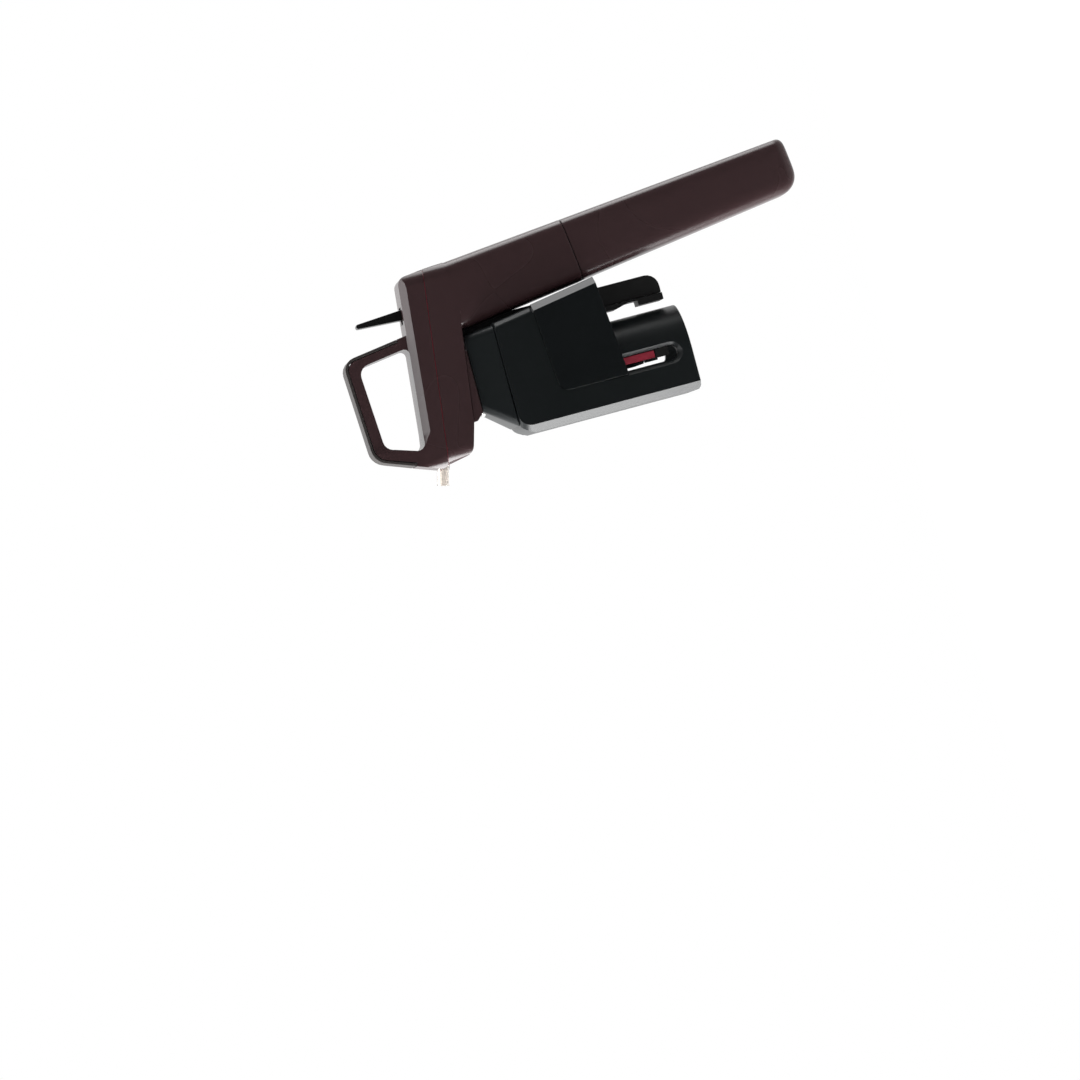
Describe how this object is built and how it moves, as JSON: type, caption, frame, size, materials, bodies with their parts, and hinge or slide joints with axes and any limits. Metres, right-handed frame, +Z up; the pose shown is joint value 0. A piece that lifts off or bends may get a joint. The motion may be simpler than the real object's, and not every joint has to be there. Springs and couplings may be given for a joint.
{
  "type": "wine preservation dispenser",
  "caption": "Hand-held wine dispenser: head with loop handle, thumb trigger, spout and screw-on capsule handle, sliding on a clamp that grips a bottle's neck",
  "frame": {"origin": "on the needle's axis, in the plane of the clamp's mouth", "axes": "+Z up along the needle towards the finger loop, +X towards the capsule handle, -X towards the spout, +Y to the left"},
  "size_m": [0.1152, 0.044, 0.2237],
  "materials": {
    "burgundy": "deep wine-red plastic, glossy",
    "clamp_black": "black plastic, satin",
    "gloss_black": "black plastic, polished",
    "rail_black": "black plastic, matte",
    "rubber": "black rubber, matte",
    "red": "crimson plastic, satin",
    "rim_grey": "grey-brown plastic, satin",
    "steel": "stainless steel, satin",
    "capsule_steel": "drawn steel, satin",
    "brass": "turned brass",
    "copper": "drawn copper tube",
    "white_plastic": "white plastic, satin",
    "clear": "clear to milky plastic, glossy"
  },
  "bodies": {
    "clamp": {"clamp_sleeve": "clamp_black", "neck_block": "clamp_black", "badge_plate_left": "gloss_black", "badge_plate_right": "gloss_black", "lip_pad": "rubber", "needle_guide": "white_plastic", "rail_stop_pin": "steel", "block_screw_left": "steel", "block_screw_right": "steel", "jaw_pin_left": "steel", "jaw_pin_right": "steel", "jaw_leaf_left": "steel", "jaw_leaf_right": "steel"},
    "head": {"head_body": "burgundy", "head_flange": "burgundy", "top_cap": "burgundy", "loop_rim": "rim_grey", "guide_rail": "rail_black", "rail_strip": "rail_black", "rail_screw_1": "steel", "rail_screw_2": "steel", "cap_screw_left_1": "steel", "cap_screw_left_2": "steel", "cap_screw_right_1": "steel", "cap_screw_right_2": "steel", "vent_plug_left": "burgundy", "vent_plug_right": "burgundy", "trigger_pin": "steel", "valve_body": "brass", "valve_gland": "brass", "valve_seal": "rubber", "valve_spring": "steel", "needle_hub": "steel", "hub_seal": "rubber", "needle": "steel", "spout": "clear", "spout_seal": "rubber", "gas_tube": "copper", "supply_tube": "copper", "regulator_body": "steel", "regulator_plug": "brass", "regulator_spring": "steel", "capsule_seal": "rubber", "piercing_pin": "steel"},
    "trigger": {"trigger": "clamp_black"},
    "valve": {"valve_stem": "steel"},
    "regulator": {"regulator_piston": "brass"},
    "capsule": {"gas_capsule": "capsule_steel"},
    "cup": {"capsule_cup": "burgundy", "cup_cushion": "rubber"},
    "jaw_left": {"jaw_left": "red", "jaw_pad_left": "rubber"},
    "jaw_right": {"jaw_right": "red", "jaw_pad_right": "rubber"}
  },
  "joints": [
    {"name": "head_slide", "type": "slide", "parent": "clamp", "child": "head", "axis": [0, 0, 1], "range_m": [0, 0.058]},
    {"name": "trigger_turn", "type": "hinge", "parent": "head", "child": "trigger", "pos_m": [0.049, 0, 0.1165], "axis": [0, -1, 0], "range_deg": [0, 12], "stiffness_Nm_per_rad": 0.1},
    {"name": "valve_slide", "type": "slide", "parent": "head", "child": "valve", "axis": [0, 0, -1], "range_m": [0, 0.00095], "deforming": ["valve_spring"]},
    {"name": "regulator_slide", "type": "slide", "parent": "head", "child": "regulator", "axis": [-0.1219, 0, 0.9925], "range_m": [0, 0.0008], "stiffness_N_per_m": 2000, "deforming": ["regulator_spring"]},
    {"name": "capsule_slide", "type": "slide", "parent": "head", "child": "capsule", "axis": [0.1219, 0, -0.9925], "range_m": [0, 0.00901]},
    {"name": "cup_turn", "type": "hinge", "parent": "capsule", "child": "cup", "pos_m": [0.058, 0, 0.0403], "axis": [0.1219, 0, -0.9925], "range_deg": [0, 1080]},
    {"name": "jaw_left_turn", "type": "hinge", "parent": "clamp", "child": "jaw_left", "pos_m": [0.002, 0.0179, 0.05], "axis": [1, 0, 0], "range_deg": [0, 4.3], "stiffness_Nm_per_rad": 0.02, "deforming": ["jaw_leaf_left"]},
    {"name": "jaw_right_turn", "type": "hinge", "parent": "clamp", "child": "jaw_right", "pos_m": [0.002, -0.0179, 0.05], "axis": [-1, 0, 0], "range_deg": [0, 4.3], "stiffness_Nm_per_rad": 0.02, "deforming": ["jaw_leaf_right"]}
  ],
  "couplings": [
    {"joint": "valve_slide", "follows": "trigger_turn", "m_per_rad": 0.0045},
    {"joint": "capsule_slide", "follows": "cup_turn", "m_per_rad": 0.00047746}
  ]
}
